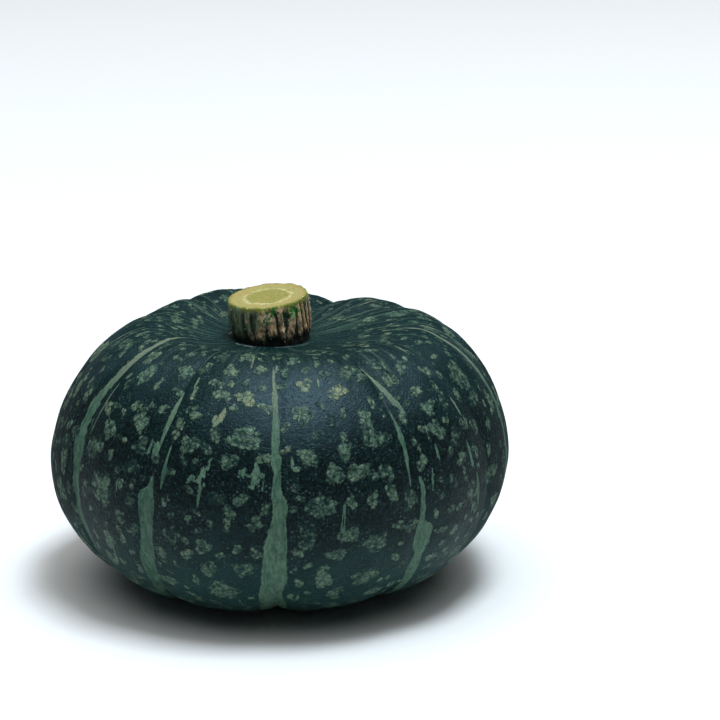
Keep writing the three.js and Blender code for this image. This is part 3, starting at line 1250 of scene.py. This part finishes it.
@dataclass
class Fruit:
    """The whole squash body, from the blossom scar underneath to the dimple round the stem."""

    node: str = "fruit"
    segments: int = 120
    rings: int = 50
    refinements: int = 2
    rows: int = 600
    skin_radius: float = 85.0
    off_pole: float = 0.4999
    bake_margin: float = 0.01
    profile: RindProfile = RindProfile()
    growth: Growth = Growth()
    relief: RindRelief = RindRelief()
    finish: RindFinish = RindFinish()

    def build(self) -> Piece:
        """Models the fruit and dresses it.

        Returns:
            The finished piece.
        """
        piece = self._start()
        azimuth, share = self._read_sphere(piece)
        along, places = self._grow(azimuth, share)
        write_places(piece, places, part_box(self.node))
        self._record_marks(piece, azimuth, along)
        self._unwrap(piece, azimuth, share)
        bpy.ops.object.shade_smooth()
        piece.data.materials.append(self.finish.material())
        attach(piece, "root")
        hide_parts(self.node)
        return piece

    def _start(self) -> Piece:
        """Makes a finely divided sphere, for the rind to be laid on.

        Returns:
            The sphere.
        """
        deselect()
        bpy.ops.mesh.primitive_uv_sphere_add(
            segments=self.segments, ring_count=self.rings, radius=self.profile.equator_radius * MM
        )
        piece = bpy.context.object
        piece.name = "rind"
        refine(piece, self.refinements)
        return piece

    def _read_sphere(self, piece: Piece) -> tuple[Array, Array]:
        """Reads where each vertex is on the sphere.

        Args:
            piece: The sphere.

        Returns:
            Its azimuth, and its share of the way from the bottom to the top.
        """
        x, y, z = read_places(piece).T
        height = np.arctan2(z, np.hypot(x, y))
        return np.degrees(np.arctan2(x, -y)), height / np.pi + 0.5

    def _grow(self, azimuth: Array, share: Array) -> tuple[Array, Array]:
        """Gives every vertex its place on the rind.

        Args:
            azimuth: The vertices' azimuths.
            share: Their shares of the way over the rind, from its bottom to its top.

        Returns:
            Their distances along the rind and their places.
        """
        steps, *columns = self.profile.spaced(self.rows)
        along = share * steps[-1]
        radius, height, out, up = (np.interp(along, steps, column) for column in columns)
        lift, nearness = self.growth.lobes(azimuth, along)
        lift = lift + self.growth.swell(azimuth, along)
        stem_gap = radius - self.profile.seat_radius
        skin = self._skin(azimuth, along)
        lift += self.relief.lift(skin, radius, stem_gap, nearness)
        radius, height = (radius + lift * out).clip(0), height + lift * up
        return along, self.growth.place(azimuth, radius, height, self.profile)

    def _skin(self, azimuth: Array, along: Array) -> Array:
        """Lays the rind on a straight cylinder, where patterns run without a seam.

        Args:
            azimuth, along: Where the vertices lie.

        Returns:
            Their places on it, one row each.
        """
        turn = np.radians(azimuth)
        x, y = self.skin_radius * np.sin(turn), -self.skin_radius * np.cos(turn)
        return np.stack([x, y, along], axis=1)

    def _record_marks(self, piece: Piece, azimuth: Array, along: Array) -> None:
        """Stores where the markings lie.

        Args:
            piece: The fruit.
            azimuth, along: Where its vertices lie.
        """
        markings = Markings(self.growth, self.profile)
        offset, half, inside, tone, raggedness = markings.measure_strokes(azimuth, along).T
        record(piece, "skin", *self._skin(azimuth, along).T)
        record(piece, "stroke", offset, half, inside)
        record(piece, "stroke_kind", tone, raggedness, 0 * along)
        record(piece, "patch", *markings.measure_patches(azimuth, along).T)

    def _unwrap(self, piece: Piece, azimuth: Array, share: Array) -> None:
        """Unwraps the rind in two strips, the front half above the back.

        Args:
            piece: The fruit.
            azimuth: The vertices' azimuths.
            share: Their shares of the way over the rind.
        """
        vertex = np.empty(len(piece.data.loops), int)
        piece.data.loops.foreach_get("vertex_index", vertex)
        sizes = np.empty(len(piece.data.polygons), int)
        piece.data.polygons.foreach_get("loop_total", sizes)
        face = np.repeat(np.arange(len(sizes)), sizes)

        turn = np.radians(azimuth[vertex])
        off_pole = np.abs(share[vertex] - 0.5) < self.off_pole
        sine, cosine = (np.bincount(face, part * off_pole) for part in (np.sin(turn), np.cos(turn)))
        middle = np.degrees(np.arctan2(sine, cosine))[face]
        at_back = np.abs(middle) > 90
        centre = np.where(at_back, 180.0, 0.0)
        across = turn_between(np.where(off_pole, azimuth[vertex], middle), centre) / 180 + 0.5
        inset = self.bake_margin + (1 - 2 * self.bake_margin) * share[vertex]
        upward = (inset + np.where(at_back, 0, 1)) / 2
        layer = piece.data.uv_layers[0]
        layer.name = "OFBake"
        layer.data.foreach_set("uv", np.stack([across, upward], axis=1).ravel())


@dataclass
class Stem:
    """The cut stem: a ridged, corky stump that spreads a little at its waist."""

    node: str = "stem"
    sides: int = 100
    height: float = 16.3
    sink: float = 1.2
    tilt: float = 0.1
    back_rise: float = 0.08
    lean_x: float = -1.6
    outline: Table = (
        (0, 14.4), (0.05, 15.2), (0.14, 15.6), (0.28, 15.9), (0.45, 16.1), (0.62, 16.2),
        (0.8, 16.1), (0.93, 16.0), (1, 15.6),
    )
    bark_radius: float = 16.0
    ridges: int = 24
    ridge_depth: float = 1.1
    wander: tuple[tuple[int, float, float], ...] = ((3, 0.045, 0.6), (7, 0.02, 2.1))
    face_steps: int = 4
    weld: float = 1e-6
    smoothing: int = 13
    ridge_sharpness: float = 2.6
    refinements: int = 2
    # Azimuth of the corkier side; its tan cork is partly painted light from that side.
    corky_lit_side: float = 65.0
    seed: int = 7
    knobs: Ripple = Ripple(1, (1.3, 1.3, 2.2), 1.7)
    knob_height: float = 0.34
    shreds: Ripple = Ripple(0.16, (0.5, 0.5, 1.6), 6.1)
    pits: Ripple = Ripple(1, 0.9, 9.4)
    pit_depth: float = 0.35
    waist: Hump = Hump(0.45, 0.3, 0.16)
    swells: Ripple = Ripple(0.35, 7, 4.9)
    fibres: Ripple = Ripple(0.22, (0.9, 0.9, 9), 2.3)
    cut_waves: Ripple = Ripple(0.14, 2.6, 3.1)
    cut_grain: Ripple = Ripple(0.06, 0.8, 8.2)
    cut_rings: tuple[Hump, Hump, Hump] = (
        Hump(0.2, 0.94, 0.05), Hump(-0.22, 0.62, 0.04), Hump(-0.35, 0, 0.4),
    )
    torn_rim: Ripple = Ripple(0.3, (2.4, 2.4, 9), 8.8)
    finish: StemFinish = StemFinish()

    def build(self) -> Piece:
        """Models the stem and dresses it.

        Returns:
            The finished piece.
        """
        piece = self._turn_body()
        self._carve(piece)
        bpy.ops.object.shade_smooth()
        piece.data.materials.append(self.finish.material())
        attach(piece, "root")
        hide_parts(self.node)
        return piece

    def _turn_body(self) -> Piece:
        """Draws the outline up from its foot, ring by ring, closes both ends and divides it.

        Returns:
            The smooth stump.
        """
        deselect()
        shares, radii = np.array(self.outline).T
        bpy.ops.mesh.primitive_circle_add(vertices=self.sides, radius=radii[0] * MM)
        piece = bpy.context.object
        piece.name = "cut_stem"
        bpy.ops.object.mode_set(mode="EDIT")
        self._close_end(0)
        self._select_foot(piece)
        for last, share, before, radius in zip(shares, shares[1:], radii, radii[1:]):
            rise = (share - last) * self.height * MM
            bpy.ops.mesh.extrude_edges_move(TRANSFORM_OT_translate={"value": (0, 0, rise)})
            self._resize(radius / before, share * self.height)
        self._close_end(self.height)
        bpy.ops.mesh.select_all(action="SELECT")
        bpy.ops.mesh.remove_doubles(threshold=self.weld)
        bpy.ops.mesh.normals_make_consistent(inside=False)
        bpy.ops.object.mode_set(mode="OBJECT")
        refine(piece, self.refinements)
        return piece

    def _select_foot(self, piece: Piece) -> None:
        """Selects the outer ring of vertices at the foot, and the edges between them.

        Args:
            piece: The stem.
        """
        bpy.ops.mesh.select_all(action="DESELECT")
        bpy.ops.object.mode_set(mode="OBJECT")
        chosen = np.hypot(*read_places(piece)[:, :2].T) > self.outline[0][1] - 0.01
        piece.data.vertices.foreach_set("select", chosen)
        edges = np.empty(len(piece.data.edges) * 2, int)
        piece.data.edges.foreach_get("vertices", edges)
        piece.data.edges.foreach_set("select", chosen[edges.reshape(-1, 2)].all(axis=1))
        bpy.ops.object.mode_set(mode="EDIT")

    def _resize(self, ratio: float, height: float) -> None:
        """Widens or narrows the selected ring about the axis, at its height."""
        centre = (0, 0, height * MM)
        bpy.ops.transform.resize(value=(ratio, ratio, 1), center_override=centre)

    def _close_end(self, height: float) -> None:
        """Draws the selected ring inwards in even steps to a point.

        Args:
            height: The ring's height, in millimetres.
        """
        for left in range(self.face_steps, 1, -1):
            bpy.ops.mesh.extrude_edges_move()
            self._resize((left - 1) / left, height)
        bpy.ops.mesh.extrude_edges_move()
        bpy.ops.mesh.merge(type="CENTER")

    def _even_turn(self, turn: Array) -> Array:
        """Undoes the ridges' uneven spacing.

        Args:
            turn: The vertices' turns, in radians from the front.

        Returns:
            Their turns as they would be if it were even.
        """
        even = turn
        for _ in range(5):
            even = turn - sum(part * np.sin(waves * even + lag) for waves, part, lag in self.wander)
        return even

    def _raise_ridges(self, turn: Array, share: Array) -> tuple[Array, Array]:
        """Lays uneven ridges up the side.

        Args:
            turn: The vertices' turns, in radians from the front.
            share: Their shares of the stem's height.

        Returns:
            How near each is to a ridge's crest, up to 1, and how corky it is: a quarter by chance
            for its ridge, the rest by facing the corky side, so the tan cork there is partly
            painted light from that side.
        """
        random = np.random.default_rng(self.seed)
        even, pitch = self._even_turn(turn), np.pi / self.ridges
        crest, cork = np.zeros_like(turn), np.zeros_like(turn)
        for number in range(self.ridges):
            middle = (number + random.uniform(-0.2, 0.2)) * 2 * pitch
            width = random.uniform(0.4, 0.9) * pitch
            sway = random.normal(0, 0.05)
            sway = sway * np.sin(np.pi * (share * random.uniform(0.7, 1.8) + random.random()))
            foot, top = random.uniform(-0.1, 0.2), random.uniform(0.9, 1.6)
            strength = random.uniform(0.6, 1.0) * smooth_step(share, foot, foot + 0.14)
            strength *= 1 - 0.6 * smooth_step(share, top - 0.3, top)
            distance = np.angle(np.exp(1j * (even - middle - sway)))
            here = strength * np.exp(-np.abs(distance / width) ** self.ridge_sharpness)
            nearer = here > crest
            crest[nearer] = here[nearer]
            cork[nearer] = random.uniform(0, 1)
        # Painted light: more tan cork towards the corky side, lighter as if lit from there.
        painted_light_facing = 0.5 + 0.5 * np.cos(turn - np.radians(self.corky_lit_side))
        return crest, 0.25 * cork + 0.75 * painted_light_facing

    def _carve(self, piece: Piece) -> None:
        """Carves the ridges, roughens the cork and the cut, and sets the stem on its seat.

        Args:
            piece: The stem, still smooth and upright, with its foot at height 0.
        """
        places = read_places(piece)
        turn = np.arctan2(places[:, 0], -places[:, 1])
        sine, cosine = np.sin(turn), np.cos(turn)
        share = (places[:, 2] / self.height).clip(0, 1)
        outward = np.hypot(places[:, 0], places[:, 1]) / look_up(share, self.outline)
        outward = outward.clip(0, 1)
        fine = np.linspace(0, 1, 201)
        padded = np.pad(look_up(fine, self.outline), self.smoothing // 2, "edge")
        smooth = np.convolve(padded, np.ones(self.smoothing) / self.smoothing, "valid")
        radius = outward * np.interp(share, fine, smooth)
        crest, cork = self._raise_ridges(turn, share)

        around = self.bark_radius * np.stack([sine, -cosine], axis=1)
        bark = np.column_stack([around, places[:, 2]])
        knobs = self.knobs.over(bark)
        fade = np.minimum(smooth_step(share, 0, 0.12), 1 - 0.45 * smooth_step(share, 0.9, 1.0))
        fade *= 0.55 + 0.45 * np.cos(turn - np.radians(self.corky_lit_side))
        rough = self.knob_height * knobs + self.shreds.over(bark)
        rough -= self.pit_depth * smooth_step(self.pits.over(bark), 0.25, 0.5)
        lift = self.ridge_depth * (crest - 1) * fade + rough * fade * (0.3 + 0.7 * crest)
        lift += self.waist.at(share) * crest * (0.5 + knobs)
        lift += (self.swells.over(bark) + self.fibres.over(bark)) * fade

        at_top = share > 0.999
        cut = self.cut_waves.over(places) + self.cut_grain.over(places)
        cut += sum(ring.at(outward) for ring in self.cut_rings)
        cut += self.torn_rim.over(bark) * bell(outward - 1, 0.1)

        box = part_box(self.node)
        grown = radius + lift * outward**3
        x, y = grown * sine, -grown * cosine
        z = share * (self.height + self.tilt * x + self.back_rise * y) + np.where(at_top, cut, 0)
        z += box[0][2] / MM - self.sink * smooth_step(share, 0.12, 0)
        write_places(piece, np.stack([x + self.lean_x * share, y, z], axis=1), box)
        record(piece, "bark", crest, share, cork)
        record(piece, "face", outward, at_top & (outward < 0.999), 0 * share)


# ---- floor, lights and camera


def look_along(thing: Piece, direction: Vector) -> None:
    """Turns a light or a camera to look in a direction, upright."""
    thing.rotation_euler = direction.to_track_quat("-Z", "Y").to_euler()


@dataclass(frozen=True)
class Lamp:
    """A soft rectangular light: its place, aim and size in metres, its power and its colour."""

    name: str
    place: tuple[float, float, float]
    aim: tuple[float, float, float]
    size: tuple[float, float]
    power: float
    colour: Colour
    spread: float = 180.0

    def hang(self) -> None:
        """Adds the light to the scene."""
        bpy.ops.object.light_add(type="AREA", location=self.place)
        lamp = bpy.context.object
        lamp.name = self.name
        lamp.data.shape = "RECTANGLE"
        lamp.data.size, lamp.data.size_y = self.size
        lamp.data.energy = self.power
        lamp.data.color = self.colour
        lamp.data.spread = math.radians(self.spread)
        look_along(lamp, Vector(self.aim) - Vector(self.place))


@dataclass
class Studio:
    """A plain pale floor, soft light and the camera."""

    eye_distance: float = 1000.0
    eye_elevation: float = 17.0
    focus_height: float = 49.6
    focus_x: float = -1.2
    aim_right: float = 33.2
    aim_up: float = 36.8
    lens: float = 125.8
    sensor: float = 36.0
    nearest: float = 0.05
    floor_size: float = 40.0
    lamps: tuple[Lamp, ...] = (
        Lamp("ceiling", (0, 0, 3.2), (0, 0, 0), (28, 28), 1746.0, (1.0, 1.0, 1.0), 100.0),
        Lamp("key", (0.54, -0.3, 3.2), (0, 0, 0.05), (1.3, 0.87), 81.0, (0.8, 0.92, 1.0)),
    )
    air: float = 0.05
    air_colour: Colour = (0.86, 0.93, 1.0)
    contrast: float = 0.9

    def build(self) -> None:
        """Sets up the floor, the lights and the camera."""
        self._floor()
        for lamp in self.lamps:
            lamp.hang()
        self._camera()
        world = bpy.data.worlds.new("surroundings")
        world.use_nodes = True
        surroundings = world.node_tree.nodes["Background"].inputs
        surroundings["Color"].default_value = (*self.air_colour, 1.0)
        surroundings["Strength"].default_value = self.air
        scene = bpy.context.scene
        scene.world = world
        scene.view_settings.view_transform = "Standard"
        scene.view_settings.gamma = self.contrast

    def _floor(self) -> None:
        """Lays the floor that the squash stands on."""
        deselect()
        bpy.ops.mesh.primitive_plane_add(size=self.floor_size)
        floor = bpy.context.object
        floor.name = "floor"
        floor.data.materials.append(FloorFinish().material())

    def _camera(self) -> None:
        """Places the camera in front of the squash and above it."""
        rise = math.radians(self.eye_elevation)
        focus = Vector((self.focus_x, 0, self.focus_height))
        eye = focus + self.eye_distance * Vector((0, -math.cos(rise), math.sin(rise)))
        upward = Vector((0, math.sin(rise), math.cos(rise)))
        aim = focus + Vector((self.aim_right, 0, 0)) + self.aim_up * upward
        bpy.ops.object.camera_add(location=eye * MM)
        camera = bpy.context.object
        camera.name = "camera"
        camera.data.lens = self.lens
        camera.data.sensor_width = self.sensor
        camera.data.clip_start = self.nearest
        look_along(camera, aim - eye)
        bpy.context.scene.camera = camera


# ---- the scene


def main() -> None:
    """Builds the squash and its surroundings."""
    logging.basicConfig(level=logging.INFO, format="%(name)s: %(message)s")
    Studio().build()
    for maker in (Stem(), Fruit()):
        piece = maker.build()
        mesh = piece.data
        LOG.info("%s: %d vertices, %d faces", piece.name, len(mesh.vertices), len(mesh.polygons))


if __name__ == "__main__":
    main()
